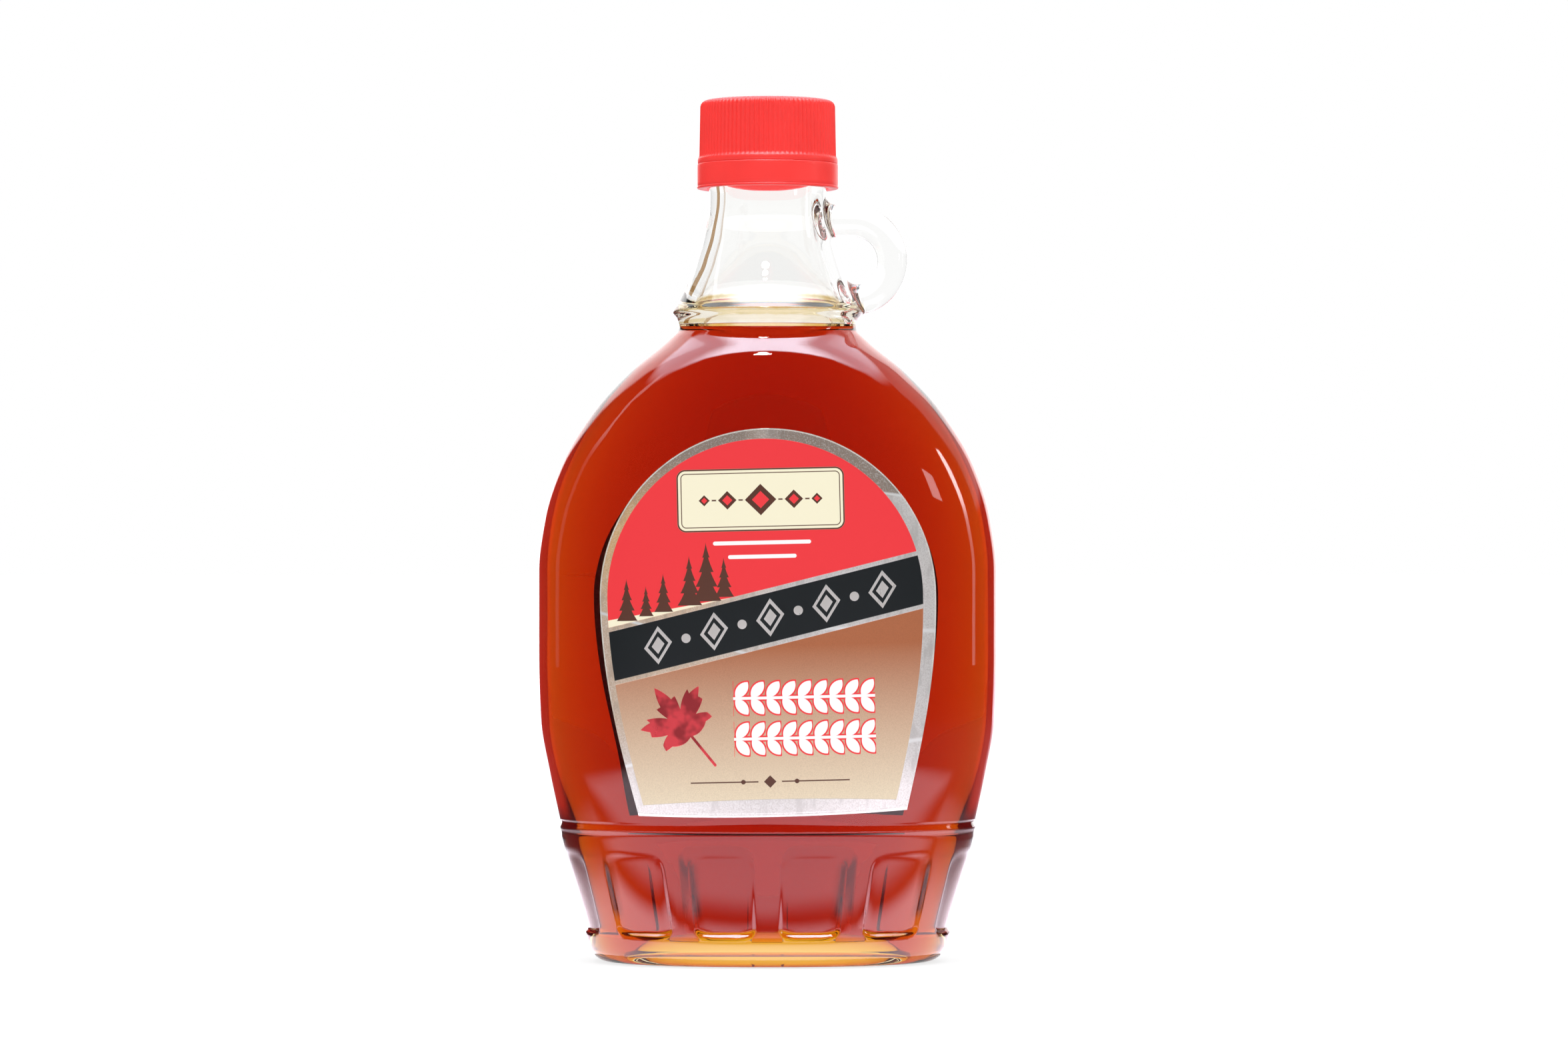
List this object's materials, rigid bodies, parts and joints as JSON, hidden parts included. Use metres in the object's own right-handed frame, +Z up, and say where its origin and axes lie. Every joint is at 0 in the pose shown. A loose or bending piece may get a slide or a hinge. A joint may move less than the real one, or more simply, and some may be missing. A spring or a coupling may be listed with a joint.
{
  "type": "maple syrup bottle",
  "caption": "Flat glass syrup flask with a panelled skirt, a finger loop on its neck, a ribbed red screw cap over a tamper band, front and back labels, and syrup up to the neck.",
  "frame": {"origin": "middle of the foot, on the surface it stands on, on the neck's axis", "axes": "+Z up along the neck's axis; the front label faces -Y; the finger loop points to +X"},
  "size_m": [0.101, 0.0468, 0.1898],
  "materials": {
    "clear_glass": "clear polished bottle glass",
    "syrup": "clear amber-red syrup",
    "red_plastic": "moulded red plastic, satin",
    "front_print": "printed label with silver foil edges",
    "back_print": "printed label, plain back seen through the syrup"
  },
  "bodies": {
    "root": {"flask": "clear_glass", "syrup": "syrup", "cap": "red_plastic", "tamper_band": "red_plastic", "front_label": "front_print", "back_label": "back_print"}
  },
  "joints": []
}
